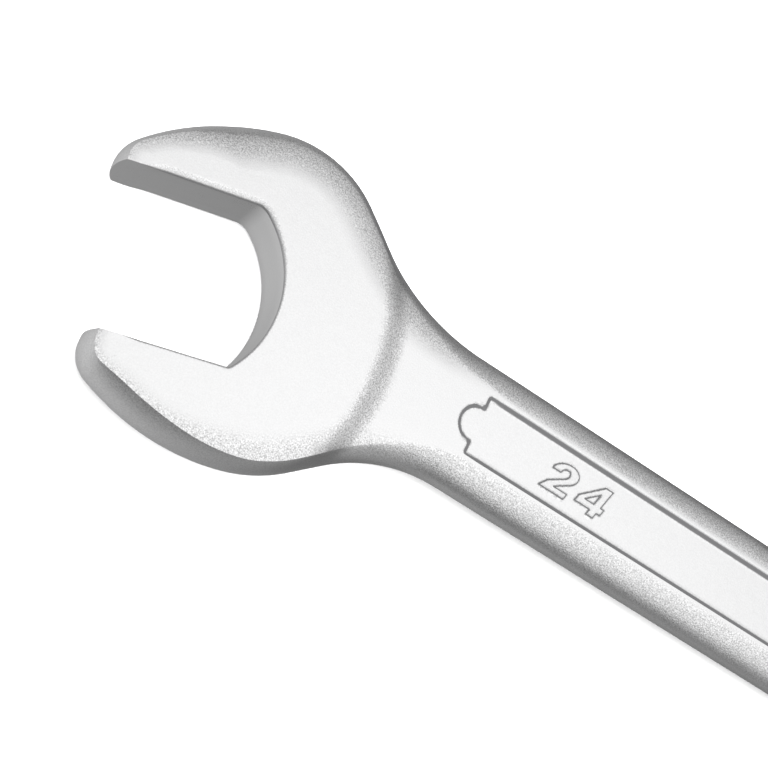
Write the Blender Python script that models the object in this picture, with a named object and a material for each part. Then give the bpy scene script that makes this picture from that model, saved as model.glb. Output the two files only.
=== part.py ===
"""Combination wrench, 24 mm across flats: one chrome plated drop forging.

Frame: +X runs along the shank from the open end to the ring, +Z is up and the wrench lies on z = 0.
The plan below is drawn in millimetres about the centre of the nut in the open end, with the
mid-plane of the shank at z = 0, and is moved and scaled to the frame at the end.
"""

import math

import bpy
import numpy as np

MM = 0.001

# Open end
JAW_HALF = 12.1
JAW_ANGLE = math.radians(15.0)
THROAT_RADIUS = 16.5
THROAT_CENTRE_U = 4.8
THROAT_CENTRE_V = -0.25
THROAT_FILLET = {1: 3.0, -1: 0.8}
HEAD_HALF_THICK = 5.25
JAW_EDGE = {1: 1.2, -1: 0.4}
JAW_EDGE_DROP = 0.6
EDGE_FADE = 4.0
EDGE_CHANGE_START = 0.23
EDGE_CHANGE_END = 0.57

# Sides of the open end, upper (1) and lower (-1): how far the jaw reaches, how its end leans, and
# the arcs from there to the neck, each a radius and a turn in degrees
JAW_TIP_U = {1: 15.3, -1: 13.1}
TIP_LEAN = {1: math.radians(2.7), -1: math.radians(18.9)}
HEAD_ARCS = {
    1: ((5.7, 52.4), (39.0, 33.1), (18.3, 57.1)),
    -1: ((5.6, 72.7), (35.7, 37.6), (22.1, 24.8)),
}
NECK_RADIUS = {1: 35.5, -1: 26.0}

# Shank
SHANK_Y = 3.45
SHANK_HALF_WIDTH = 10.65
SHANK_HALF_THICK = 3.9
NECK_X = 39.0
STEP_CENTRE = (-8.4, -1.85)
STEP_RADIUS = 36.0
STEP_WIDTH = 4.6

# Ring end
RING_X = 250.0
RING_RADIUS = 18.0
RING_HALF_THICK = 7.2
RING_FILLET = 20.0
RING_TILT = math.radians(15.0)
RING_START_X = 229.0
BEND_X = 219.8
BEND_LENGTH = 10.0
BORE_FLATS = 24.2
BORE_CHAMFER_RADIUS = 14.6
BORE_CHAMFER_SLOPE = 0.6
RAMP_LENGTH = 9.0
NECK_TURN = 150.0

# Recessed panel on both faces
PANEL_Y = 3.3
PANEL_START_X = 47.15
PANEL_END_X = 196.0
PANEL_HALF_WIDTH = 4.45
PANEL_DEPTH = 0.36
PANEL_SLOPE = 0.72
NUB_RADIUS = 2.45
NUB_SETBACK = 0.55
CUT_CLEAR = 0.3

# Raised size number, drawn upright and then slanted
DIGIT_HEIGHT = 5.35
DIGIT_BAR = 1.0
DIGIT_RELIEF = 0.2
DIGIT_ROOT = 0.3
DIGIT_SLANT = 0.295
DIGIT_START_X = 59.65
TWO_WIDTH = 4.7
TWO_BOWL = (2.37, 3.62)
TWO_OUTER = (2.36, 1.73)
TWO_HOLLOW = (0.80, 0.82)
FOUR_START = 6.2
FOUR_WIDTH = 4.95
FOUR_STEM = 1.3
FOUR_STEM_INSET = 0.7
FOUR_BAR = (0.92, 2.05)

# Edge forms: width of the band, how much of it rolls over, fullness (1 meets the face at a crisp
# edge, 2 is a quarter ellipse) and how far the face crowns down at the edge
TIP_EDGE = {1: (3.0, 1.1, 1.2, 0.4), -1: (3.0, 1.2, 1.1, 0.5)}
ARM_EDGE = {1: (8.0, 2.6, 1.6, 2.1), -1: (4.8, 2.5, 1.1, 1.0)}
HEAD_EDGE = {1: (8.0, 2.6, 1.6, 2.1), -1: (6.5, 1.5, 1.15, 1.35)}
SHANK_EDGE = (5.4, 5.2, 1.6, 0.1)
RING_EDGE = (4.0, 2.8, 1.8, 0.3)
TIP_BLEND = {1: 22.0, -1: 12.0}
ARM_LENGTH = 14.0
ARM_BLEND = 20.0
NECK_BLEND_X = {1: 28.0, -1: 26.0}
NECK_BLEND = 24.0

# Counts of steps
FLAT_SHARE = 0.45
FILLET_SHARE = 0.15
LANE_SHARE = 0.12
HEAD_STEPS = (5, 7, 8)
FLANK_STEPS = 2
NECK_STEPS = 4
SHANK_STEPS = 22
RING_FILLET_STEPS = 3
RING_ARC_STEPS = 27
EDGE_STEPS = 5
CROWN_STEPS = 2
FACE_STEPS = 5
LANE_STEPS = 16

MOUTH = np.array([-math.cos(JAW_ANGLE), -math.sin(JAW_ANGLE)])
ACROSS = np.array([-math.sin(JAW_ANGLE), math.cos(JAW_ANGLE)])
RING_CENTRE = np.array([RING_X, SHANK_Y])
STATIONS = np.linspace(NECK_X, RING_START_X, SHANK_STEPS + 1)


def plan(u, v):
    """Plan points from distances along the mouth (u) and across it (v)."""
    return np.multiply.outer(u, MOUTH) + np.multiply.outer(v, ACROSS)


def smooth(t):
    t = np.clip(t, 0.0, 1.0)
    return t * t * (3.0 - 2.0 * t)


def unit(vectors):
    return vectors / np.linalg.norm(vectors, axis=-1, keepdims=True)


def polar(centre, radius, angles):
    return centre + radius * np.stack([np.cos(angles), np.sin(angles)], axis=-1)


def heading(vector):
    return math.atan2(vector[1], vector[0])


def sweep(first, last, turn):
    """The last angle, moved by whole turns to lie past the first one in the direction of turn."""
    while (last - first) * turn < 0.0:
        last += turn * math.tau
    return last


def face_height(points):
    """Half thickness of the faces: the head, a soft step to the shank, and a ramp up to the ring."""
    from_step = np.linalg.norm(points - np.array(STEP_CENTRE), axis=-1)
    down = smooth((from_step - STEP_RADIUS) / STEP_WIDTH) * (points[..., 0] > 0.0)
    from_ring = np.linalg.norm(points - RING_CENTRE, axis=-1)
    up = smooth((RING_RADIUS + RAMP_LENGTH - from_ring) / RAMP_LENGTH)
    height = HEAD_HALF_THICK + (SHANK_HALF_THICK - HEAD_HALF_THICK) * down
    return height + (RING_HALF_THICK - SHANK_HALF_THICK) * up


def head_arcs(side):
    """Arcs of one side of the head, each touching the next, as centre, radius, first and last
    angle; then the point where the last one leaves off and the heading of the flank there."""
    point = plan(JAW_TIP_U[side], side * JAW_HALF)
    travel = heading(side * ACROSS) + side * TIP_LEAN[side]
    arcs = []
    for radius, turn in HEAD_ARCS[side]:
        first = travel + side * math.pi / 2.0
        last = first - side * math.radians(turn)
        centre = polar(point, -radius, first)
        arcs.append((centre, radius, first, last))
        point = polar(centre, radius, last)
        travel -= side * math.radians(turn)
    return arcs, point, travel


def neck_arc(side):
    """Fillet from the straight flank of the head to the edge of the shank: its centre, the angle
    where it leaves the flank and the angle where it crosses x = NECK_X."""
    _, point, travel = head_arcs(side)
    radius = NECK_RADIUS[side]
    edge_y = SHANK_Y + side * SHANK_HALF_WIDTH
    corner_x = point[0] + (edge_y - point[1]) / math.tan(travel)
    centre = np.array([corner_x + radius * math.tan(abs(travel) / 2.0), edge_y + side * radius])
    return centre, travel - side * math.pi / 2.0, -side * math.acos((NECK_X - centre[0]) / radius)


def ring_neck(side):
    """Centre of the fillet between the edge of the shank and the ring."""
    rise = SHANK_HALF_WIDTH + RING_FILLET
    run = math.sqrt((RING_RADIUS + RING_FILLET) ** 2 - rise**2)
    return np.array([RING_X - run, SHANK_Y + side * rise])


def edge_line(side, x):
    """The outline of the shank at each x, with the neck and ring fillets that run into it."""
    neck, ring = neck_arc(side)[0], ring_neck(side)
    half = np.full(len(x), SHANK_HALF_WIDTH)
    for centre, radius, inside in (
        (neck, NECK_RADIUS[side], x < neck[0]),
        (ring, RING_FILLET, x > ring[0]),
    ):
        off = np.clip(x - centre[0], -radius, radius)
        half = half + np.where(inside, radius - np.sqrt(radius**2 - off**2), 0.0)
    return np.stack([x, SHANK_Y + side * half], axis=-1)


def head_side(side):
    """Outline of one side of the open end from its jaw tip to the neck: three arcs, the straight
    flank and the neck fillet, with the inward direction at each point."""
    arcs, leave, travel = head_arcs(side)
    neck, first, last = neck_arc(side)
    points = []
    outward = []
    for (centre, radius, start, end), steps in zip(arcs, HEAD_STEPS):
        angles = np.linspace(start, end, steps + 1)
        points.append(polar(centre, radius, angles))
        outward.append(polar(0.0, 1.0, angles))
    touch = polar(neck, NECK_RADIUS[side], first)
    share = np.linspace(0.0, 1.0, FLANK_STEPS + 1)[:, None]
    points.append(leave + share * (touch - leave))
    outward.append(np.tile(polar(0.0, 1.0, travel + side * math.pi / 2.0), (FLANK_STEPS + 1, 1)))
    angles = np.linspace(first, last, NECK_STEPS + 1)
    points.append(polar(neck, NECK_RADIUS[side], angles))
    outward.append(polar(0.0, -1.0, angles))
    points = np.concatenate([points[0]] + [part[1:] for part in points[1:]])
    inward = -np.concatenate([outward[0]] + [part[1:] for part in outward[1:]])
    order = np.arange(len(points))
    at_tip = 1.0 - smooth(order / HEAD_STEPS[0])
    at_neck = smooth((order - len(points) + 1 + NECK_STEPS) / NECK_STEPS)
    inward = inward + at_tip[:, None] * (-MOUTH - inward)
    inward = inward + at_neck[:, None] * (np.array([0.0, -side]) - inward)
    return points, unit(inward)


def ring_side(side):
    """Outline of one side of the ring from the shank to its far end, with inward directions."""
    neck = ring_neck(side)
    first = heading(edge_line(side, np.array([RING_START_X]))[0] - neck)
    last = sweep(first, heading(RING_CENTRE - neck), side)
    neck_angles = np.linspace(first, last, RING_FILLET_STEPS + 1)
    touch = heading(neck - RING_CENTRE)
    ring_angles = np.linspace(touch, sweep(touch, 0.0, -side), RING_ARC_STEPS + 1)
    points = np.concatenate([
        polar(neck, RING_FILLET, neck_angles),
        polar(RING_CENTRE, RING_RADIUS, ring_angles[1:]),
    ])
    inward = np.concatenate([polar(0.0, 1.0, neck_angles), polar(0.0, -1.0, ring_angles[1:])])
    at_start = 1.0 - smooth(np.arange(len(points)) / RING_FILLET_STEPS)
    inward = inward + at_start[:, None] * (np.array([0.0, -side]) - inward)
    return points, unit(inward)


def outline_side(side):
    """One side of the outline from jaw tip to ring end, its inward directions, and how far along
    the edge forms each point is: 0 at the jaw tip, 1 on the jaw, 2 on the head, 3 on the shank and
    4 on the ring."""
    head, head_in = head_side(side)
    x = STATIONS[1:-1]
    shank = edge_line(side, x)
    shank_in = np.tile([0.0, -float(side)], (len(x), 1))
    ring, ring_in = ring_side(side)
    run = np.append(0.0, np.cumsum(np.linalg.norm(np.diff(head, axis=0), axis=-1)))
    points = np.concatenate([head, shank, ring])
    inward = np.concatenate([head_in, shank_in, ring_in])
    blend = np.concatenate([
        smooth(run / TIP_BLEND[side]) + smooth((run - ARM_LENGTH) / ARM_BLEND),
        np.full(len(x), 2.0),
        2.0 + smooth(np.arange(len(ring)) / RING_FILLET_STEPS),
    ])
    return points, inward, blend + smooth((points[:, 0] - NECK_BLEND_X[side]) / NECK_BLEND)


def edge_form(side, blend):
    """Width, roll, fullness and crown of the edge at each point of one side of the outline."""
    stack = np.array([TIP_EDGE[side], ARM_EDGE[side], HEAD_EDGE[side], SHANK_EDGE, RING_EDGE])
    return np.stack([np.interp(blend, np.arange(len(stack)), column) for column in stack.T])


def edge_band(side):
    """Top of the rolled edge, from the outline at mid-plane in to the flat of the face: in by
    roll (1 - cos(t)^(2 / fullness)) and up by sin(t), under a face that crowns as a parabola."""
    points, inward, blend = outline_side(side)
    width, roll, fullness, crown = edge_form(side, blend)[:, :, None]
    turn = np.linspace(0.0, math.pi / 2.0, EDGE_STEPS + 1)
    rest = np.linspace(0.0, 1.0, CROWN_STEPS + 1)[1:]
    rolled = roll * (1.0 - np.cos(turn) ** (2.0 / fullness))
    across = np.concatenate([rolled, roll + (width - roll) * rest], axis=1)
    rise = np.concatenate([np.sin(turn), np.ones(CROWN_STEPS)])
    plane = points[:, None] + across[..., None] * inward[:, None]
    crowned = face_height(plane) - crown * (1.0 - across / width) ** 2
    return np.concatenate([plane, (crowned * rise)[..., None]], axis=-1)


def jaw_line(side, steps):
    """One half of the mouth: the jaw flat from the edge band in, a fillet and the throat's arc."""
    fillet = THROAT_FILLET[side]
    across = JAW_HALF - fillet - side * THROAT_CENTRE_V
    middle_u = THROAT_CENTRE_U - math.sqrt((THROAT_RADIUS - fillet) ** 2 - across**2)
    meet = math.asin(across / (THROAT_RADIUS - fillet))
    fillet_steps = round(steps * FILLET_SHARE)
    flat_steps = round(steps * FLAT_SHARE)
    throat_steps = steps - fillet_steps - flat_steps
    flat_u = np.linspace(JAW_TIP_U[side] - TIP_EDGE[side][0], middle_u, flat_steps + 1)
    turn = np.linspace(math.pi / 2.0, meet, fillet_steps + 1)[1:]
    angle = meet * np.linspace(1.0, LANE_SHARE, throat_steps + 1)[1:]
    u = np.concatenate([
        flat_u, middle_u - fillet * np.cos(turn), THROAT_CENTRE_U - THROAT_RADIUS * np.cos(angle)
    ])
    v = np.concatenate([
        np.full(flat_steps + 1, JAW_HALF),
        JAW_HALF - fillet + fillet * np.sin(turn),
        side * THROAT_CENTRE_V + THROAT_RADIUS * np.sin(angle),
    ])
    return u, side * v


def mouth_path():
    """The whole mouth from the upper jaw flat through the throat to the lower jaw flat."""
    side_steps = sum(HEAD_STEPS) + FLANK_STEPS + NECK_STEPS
    upper_u, upper_v = jaw_line(1, side_steps)
    lower_u, lower_v = jaw_line(-1, side_steps)
    ends = np.arcsin((np.array([upper_v[-1], lower_v[-1]]) - THROAT_CENTRE_V) / THROAT_RADIUS)
    middle = np.linspace(ends[0], ends[1], LANE_STEPS + 1)[1:-1]
    u = np.concatenate([upper_u, THROAT_CENTRE_U - THROAT_RADIUS * np.cos(middle), lower_u[::-1]])
    v = np.concatenate([upper_v, THROAT_CENTRE_V + THROAT_RADIUS * np.sin(middle), lower_v[::-1]])
    return plan(u, v)


def rim_line(path):
    """The path moved into the metal by the width of the jaw edge, and how far the edge drops. The
    width goes over from one jaw to the other and fades out at the jaw tips."""
    along = unit(np.gradient(path, axis=0))
    run = np.append(0.0, np.cumsum(np.linalg.norm(np.diff(path, axis=0), axis=-1)))
    change = (run / run[-1] - EDGE_CHANGE_START) / (EDGE_CHANGE_END - EDGE_CHANGE_START)
    edge = JAW_EDGE[1] + (JAW_EDGE[-1] - JAW_EDGE[1]) * smooth(change)
    edge = edge * smooth(np.minimum(run, run[-1] - run) / EDGE_FADE)
    left = np.stack([-along[:, 1], along[:, 0]], axis=-1)
    return path + edge[:, None] * left, JAW_EDGE_DROP * edge


def fill_between(inner, rim, outer, drop, steps):
    """Face from an inner line out to an outer one, with a small slope between the inner line and
    the rim that lies beside it."""
    share = np.linspace(0.0, 1.0, steps + 1)[:, None]
    plane = rim[:, None] + share * (outer - rim)[:, None]
    plane = np.concatenate([inner[:, None], plane], axis=1)
    height = face_height(plane)
    height[:, 0] -= drop
    return np.concatenate([plane, height[..., None]], axis=-1)


def bore_line(angles):
    """Twelve-point bore: two hexagons a twelfth of a turn apart, their corners at each 30 degrees."""
    off_corner = np.abs(np.mod(angles + math.pi / 12.0, math.pi / 6.0) - math.pi / 12.0)
    radius = BORE_FLATS / 2.0 / np.cos(math.pi / 6.0 - off_corner)
    drop = BORE_CHAMFER_SLOPE * (BORE_CHAMFER_RADIUS - radius)
    return polar(RING_CENTRE, radius[:, None], angles), drop


def across_shank(upper, lower):
    """Lines across the flat of the shank from its lower edge band to its upper one."""
    share = np.linspace(0.0, 1.0, LANE_STEPS + 1)
    plane = lower[:, None] + share[:, None] * (upper - lower)[:, None]
    return np.concatenate([plane, face_height(plane)[..., None]], axis=-1)


def strip(grid, flip):
    """Triangles of a grid of points; flip turns them over."""
    a, b = grid[:-1, :-1], grid[1:, :-1]
    c, d = grid[1:, 1:], grid[:-1, 1:]
    first = np.stack([a, b, c], axis=-2).reshape(-1, 3, 3)
    second = np.stack([a, c, d], axis=-2).reshape(-1, 3, 3)
    triangles = np.concatenate([first, second])
    return triangles[:, ::-1] if flip else triangles


def mirrored(grid):
    return grid * np.array([1.0, 1.0, -1.0])


def both_faces(grid, flip):
    return np.concatenate([strip(grid, flip), strip(mirrored(grid), not flip)])


def wall(top):
    """Upright wall from a line of points down to its mirror below the mid-plane."""
    middle = top * np.array([1.0, 1.0, 0.0])
    return strip(np.stack([top, middle, mirrored(top)], axis=1), True)


def body_triangles():
    """Every surface of the wrench before its ring is tilted."""
    upper = edge_band(1)
    lower = edge_band(-1)
    head_count = sum(HEAD_STEPS) + FLANK_STEPS + NECK_STEPS + 1
    ring_first = head_count + SHANK_STEPS - 1
    upper_in, lower_in = upper[:, -1, :2], lower[:, -1, :2]
    shank_span = slice(head_count - 1, ring_first + 1)
    shank = across_shank(upper_in[shank_span], lower_in[shank_span])

    mouth = mouth_path()
    rim, drop = rim_line(mouth)
    outer = np.concatenate([
        upper_in[:head_count], shank[0, ::-1, :2][1:-1], lower_in[:head_count][::-1]
    ])
    head = fill_between(mouth, rim, outer, drop, FACE_STEPS)

    near = np.linspace(360.0 - NECK_TURN, NECK_TURN, LANE_STEPS + 1)[:-1]
    far = np.linspace(NECK_TURN, -NECK_TURN, 2 * (RING_FILLET_STEPS + RING_ARC_STEPS) + 1)
    angles = np.radians(np.concatenate([near, far]))
    bore, drop = bore_line(angles)
    ring_outer = np.concatenate([
        shank[-1, :-1, :2], upper_in[ring_first:], lower_in[ring_first:][::-1][1:]
    ])
    bore_rim = polar(RING_CENTRE, BORE_CHAMFER_RADIUS, angles)
    ring = fill_between(bore, bore_rim, ring_outer, drop, FACE_STEPS - 2)

    mouth_top = np.concatenate([upper[0], head[1:-1, 0], lower[0, ::-1]])
    return np.concatenate([
        both_faces(upper, True),
        both_faces(lower, False),
        both_faces(shank, False),
        both_faces(head, False),
        both_faces(ring, False),
        wall(mouth_top),
        wall(ring[:, 0]),
    ])


def tilt_ring(points):
    """Bends the shank up just before the ring, so that the ring lies at its tilt."""
    radius = BEND_LENGTH / RING_TILT
    past = np.clip(points[:, 0] - BEND_X, 0.0, None)
    angle = np.minimum(past / radius, RING_TILT)
    straight = past - angle * radius
    reach = radius - points[:, 2]
    x = np.minimum(points[:, 0], BEND_X) + reach * np.sin(angle) + straight * np.cos(angle)
    z = radius - reach * np.cos(angle) + straight * np.sin(angle)
    return np.stack([x, points[:, 1], z], axis=-1)


def new_object(name, points, faces):
    mesh = bpy.data.meshes.new(name)
    mesh.from_pydata((points * MM).tolist(), [], faces)
    mesh.update()
    made = bpy.data.objects.new(name, mesh)
    bpy.context.scene.collection.objects.link(made)
    return made


def body_mesh():
    """Welded points and faces of the wrench."""
    corners = body_triangles().reshape(-1, 3)
    _, first, index = np.unique(
        np.round(corners, 4), axis=0, return_index=True, return_inverse=True
    )
    faces = index.reshape(-1, 3)
    a, b, c = faces.T
    whole = (a != b) & (b != c) & (c != a)
    return tilt_ring(corners[first]), faces[whole]


def panel_outline(grow):
    """Panel outline: long sides, square shoulders and a round nub at each end, grown outwards."""
    radius = NUB_RADIUS + grow
    shoulder = PANEL_START_X - grow
    half = PANEL_HALF_WIDTH + grow
    nub = np.array([PANEL_START_X - NUB_SETBACK, 0.0])
    meet = math.acos((shoulder - nub[0]) / radius)
    round_end = polar(nub, radius, np.linspace(meet, math.tau - meet, 15))
    left = np.concatenate([[[shoulder, half]], round_end, [[shoulder, -half]]])
    right = left[::-1] * [-1.0, 1.0] + [PANEL_START_X + PANEL_END_X, 0.0]
    right[:, 1] *= -1.0
    return np.concatenate([left, right[::-1]])


def prism(low, high, bottom, top):
    """Closed solid between two outlines with equal counts of points, at two heights."""
    count = len(low)
    points = np.concatenate([
        np.column_stack([low, np.full(count, bottom)]),
        np.column_stack([high, np.full(count, top)]),
    ])
    turn = np.sum(low[:, 0] * np.roll(low[:, 1], -1) - np.roll(low[:, 0], -1) * low[:, 1])
    index = list(range(count)) if turn > 0.0 else list(range(count - 1, -1, -1))
    sides = [
        [a, b, b + count, a + count] for a, b in zip(index, index[1:] + index[:1])
    ]
    faces = [index[::-1], [i + count for i in index]] + sides
    return points, faces


def digit_two():
    """Outline of the 2: an oval bowl, a slanting neck and a flat foot."""
    outer = np.radians(np.linspace(182.0, -38.0, 15))
    inner = np.radians(np.linspace(-60.0, 182.0, 10))
    bowl = TWO_BOWL + TWO_OUTER * np.stack([np.cos(outer), np.sin(outer)], axis=-1)
    hollow = TWO_BOWL + TWO_HOLLOW * np.stack([np.cos(inner), np.sin(inner)], axis=-1)
    foot = [[2.1, DIGIT_BAR], [TWO_WIDTH, DIGIT_BAR], [TWO_WIDTH, 0.0], [0.0, 0.0], [0.7, 1.42]]
    return np.concatenate([bowl, foot, hollow])


def digit_four():
    """The three strokes of the 4, which overlap each other."""
    left, right = FOUR_START, FOUR_START + FOUR_WIDTH
    stem_right = right - FOUR_STEM_INSET
    stem_left = stem_right - FOUR_STEM
    bar_low, bar_high = FOUR_BAR
    height = DIGIT_HEIGHT
    stem = [[stem_left, 0.0], [stem_right, 0.0], [stem_right, height], [stem_left, height]]
    bar = [[left, bar_low], [right, bar_low], [right, bar_high], [left, bar_high]]
    slope = [
        [left, bar_high - 0.5], [left + 0.7, bar_high - 0.5], [left + 1.2, bar_high],
        [stem_left + 0.1, 4.0], [stem_left + 0.1, height], [stem_left - 0.1, height],
        [left, bar_high + 0.05],
    ]
    return [np.array(stem), np.array(bar), np.array(slope)]


def slanted(outline):
    """Digit points leaning towards the ring and set on the panel."""
    x = DIGIT_START_X + outline[:, 0] + DIGIT_SLANT * outline[:, 1]
    return np.stack([x, PANEL_Y + outline[:, 1] - DIGIT_HEIGHT / 2.0], axis=-1)


def cutters():
    """The panel recess of each face and the raised digits, by name."""
    floor = SHANK_HALF_THICK - PANEL_DEPTH
    brink = SHANK_HALF_THICK + CUT_CLEAR
    grow = PANEL_SLOPE * (PANEL_DEPTH + CUT_CLEAR) / PANEL_DEPTH
    on_shank = np.array([0.0, PANEL_Y])
    inner = panel_outline(0.0) + on_shank
    outer = panel_outline(grow) + on_shank
    shapes = {
        "panel_top": prism(inner, outer, floor, brink),
        "panel_under": prism(outer, inner, -brink, -floor),
    }
    digits = [digit_two()] + digit_four()
    for number, outline in enumerate(digits):
        shape = slanted(outline)
        shapes[f"digit_{number}"] = prism(shape, shape, floor - DIGIT_ROOT, floor + DIGIT_RELIEF)
    return shapes


def satin_chrome():
    """Even, bright grey metal with a satin sheen."""
    made = bpy.data.materials.new("satin_chrome")
    made.use_nodes = True
    skin = made.node_tree.nodes["Principled BSDF"]
    skin.inputs["Base Color"].default_value = (0.72, 0.72, 0.73, 1.0)
    skin.inputs["Metallic"].default_value = 1.0
    skin.inputs["Roughness"].default_value = 0.38
    return made


def main():
    for old in list(bpy.data.objects):
        bpy.data.objects.remove(old, do_unlink=True)
    points, faces = body_mesh()
    low, high = points.min(axis=0), points.max(axis=0)
    origin = np.array([(low[0] + high[0]) / 2.0, (low[1] + high[1]) / 2.0, low[2]])
    body = new_object("wrench", points - origin, faces.tolist())
    body.data.materials.append(satin_chrome())
    for name, shape in cutters().items():
        made = new_object(name, shape[0] - origin, shape[1])
        made.hide_render = True
        made.display_type = "WIRE"
        cut = body.modifiers.new(name, "BOOLEAN")
        cut.operation = "UNION" if name.startswith("digit") else "DIFFERENCE"
        cut.solver = "EXACT"
        cut.object = made


main()
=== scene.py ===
"""Combination wrench for 24 mm nuts: one drop forging with a satin chrome finish, on a pale floor.

The forging is worked out in millimetres in its own plan: the origin is the middle of a nut held in
the open end, +X runs along the shank to the ring and z = 0 is the mid-plane of the shank. The whole
skin is a set of grids that share their border points: rolled edges, faces, recessed panels and walls.
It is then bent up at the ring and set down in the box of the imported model.
"""

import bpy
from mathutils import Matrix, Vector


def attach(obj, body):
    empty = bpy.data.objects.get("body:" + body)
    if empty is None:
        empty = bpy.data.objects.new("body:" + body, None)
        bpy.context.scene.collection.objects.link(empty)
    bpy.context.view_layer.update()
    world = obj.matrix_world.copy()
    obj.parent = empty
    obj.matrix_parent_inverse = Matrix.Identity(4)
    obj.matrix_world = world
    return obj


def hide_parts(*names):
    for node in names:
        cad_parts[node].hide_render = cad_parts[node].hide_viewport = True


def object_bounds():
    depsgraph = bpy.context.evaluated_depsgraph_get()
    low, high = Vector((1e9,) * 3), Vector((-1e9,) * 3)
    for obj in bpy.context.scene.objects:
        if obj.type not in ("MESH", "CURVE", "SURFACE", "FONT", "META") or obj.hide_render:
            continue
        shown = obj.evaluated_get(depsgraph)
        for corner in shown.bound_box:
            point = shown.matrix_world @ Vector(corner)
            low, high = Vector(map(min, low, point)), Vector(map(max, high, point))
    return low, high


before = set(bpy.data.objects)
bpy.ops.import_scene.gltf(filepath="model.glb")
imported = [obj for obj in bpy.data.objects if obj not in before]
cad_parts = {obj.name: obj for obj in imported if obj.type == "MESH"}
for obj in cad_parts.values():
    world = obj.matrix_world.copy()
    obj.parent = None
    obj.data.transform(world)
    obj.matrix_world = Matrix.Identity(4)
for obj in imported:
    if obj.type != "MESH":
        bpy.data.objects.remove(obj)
CAD_BOX = [list(corner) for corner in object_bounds()]

import math

import bpy
import numpy as np
from mathutils import Matrix, Vector

MM = 0.001

# Open end
JAW_HALF = 12.1
JAW_ANGLE = math.radians(15.0)
THROAT_RADIUS = 16.5
THROAT_CENTRE_U = 4.8
THROAT_CENTRE_V = -0.25
THROAT_FILLET = {1: 3.0, -1: 0.8}
HEAD_HALF_THICK = 5.25
JAW_EDGE = {1: 1.2, -1: 0.4}
JAW_EDGE_DROP = 0.6
EDGE_FADE = 4.0
EDGE_CHANGE_START = 0.23
EDGE_CHANGE_END = 0.57

# Sides of the open end, upper (1) and lower (-1): how far the jaw reaches, how its end leans, and
# the arcs from there to the neck, each a radius and a turn in degrees
JAW_TIP_U = {1: 15.3, -1: 13.1}
TIP_LEAN = {1: math.radians(2.7), -1: math.radians(18.9)}
HEAD_ARCS = {
    1: ((5.7, 52.4), (39.0, 33.1), (18.3, 57.1)),
    -1: ((5.6, 72.7), (35.7, 37.6), (22.1, 24.8)),
}
NECK_RADIUS = {1: 35.5, -1: 26.0}

# Shank
SHANK_Y = 3.45
SHANK_HALF_WIDTH = 10.65
SHANK_HALF_THICK = 3.9
NECK_X = 39.0
STEP_CENTRE = (-8.4, -1.85)
STEP_RADIUS = 36.0
STEP_WIDTH = 4.6

# Ring end
RING_X = 250.0
RING_RADIUS = 18.0
RING_HALF_THICK = 7.2
RING_FILLET = 20.0
RING_TILT = math.radians(15.0)
RING_START_X = 229.0
BEND_X = 219.8
BEND_LENGTH = 10.0
BORE_FLATS = 24.2
BORE_CHAMFER_RADIUS = 14.6
BORE_CHAMFER_SLOPE = 0.6
RAMP_LENGTH = 9.0
NECK_TURN = 150.0

# Recessed panel on both faces
PANEL_Y = 3.3
PANEL_START_X = 47.15
PANEL_END_X = 196.0
PANEL_HALF_WIDTH = 4.45
PANEL_DEPTH = 0.36
PANEL_SLOPE = 0.72
NUB_RADIUS = 2.45
NUB_SETBACK = 0.55
NUB_FILLET = 0.5

# Raised size number, drawn upright and then slanted
DIGIT_HEIGHT = 5.35
DIGIT_BAR = 1.0
DIGIT_RELIEF = 0.2
DIGIT_RAMP = 0.34
DIGIT_SLANT = 0.295
DIGIT_START_X = 59.65
TWO_WIDTH = 4.7
TWO_BOWL = (2.37, 3.62)
TWO_OUTER = (2.36, 1.73)
TWO_OUTER_SWEEP = (182.0, -38.0)
TWO_HOLLOW = (0.80, 0.82)
TWO_HOLLOW_SWEEP = (-60.0, 182.0)
TWO_FOOT_START = 2.1
TWO_NECK = (0.7, 1.42)
FOUR_START = 6.2
FOUR_WIDTH = 4.95
FOUR_STEM = 1.3
FOUR_STEM_INSET = 0.7
FOUR_TOP_OVERHANG = 0.1
FOUR_BAR = (0.92, 2.05)
FOUR_CORNER_RISE = 0.05
FOUR_OPENING_START = 1.2
FOUR_OPENING_TOP = 3.95

# Edge forms: width of the band, how much of it rolls over, fullness (1 meets the face at a crisp
# edge, 2 is a quarter ellipse) and how far the face crowns down at the edge. Then the lengths over
# which one form goes over into the next
TIP_EDGE = {1: (3.0, 1.1, 1.2, 0.4), -1: (3.0, 1.2, 1.1, 0.5)}
ARM_EDGE = {1: (8.0, 2.6, 1.6, 2.1), -1: (4.8, 2.5, 1.1, 1.0)}
HEAD_EDGE = {1: (8.0, 2.6, 1.6, 2.1), -1: (6.5, 1.5, 1.15, 1.35)}
SHANK_EDGE = (5.4, 5.2, 1.6, 0.1)
RING_EDGE = (4.0, 2.8, 1.8, 0.3)
TIP_BLEND = {1: 27.0, -1: 12.0}
ARM_LENGTH = 14.0
ARM_BLEND = 20.0
NECK_BLEND_X = {1: 28.0, -1: 26.0}
NECK_BLEND = 24.0

# Counts of steps, and the shares of a jaw's steps and of the throat that its parts take
FLAT_SHARE = 0.45
FILLET_SHARE = 0.15
LANE_SHARE = 0.12
HEAD_STEPS = (20, 26, 30)
FLANK_STEPS = 8
NECK_STEPS = 20
RING_FILLET_STEPS = 8
RING_ARC_STEPS = 62
EDGE_STEPS = 10
CROWN_STEPS = 5
RIM_STEPS = 6
HEAD_FACE_STEPS = 30
RING_FACE_STEPS = 10
WALL_LEVELS = 5
TWO_OUTER_POINTS = 28
TWO_HOLLOW_POINTS = 20
RAIL_LANES = 1

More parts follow.
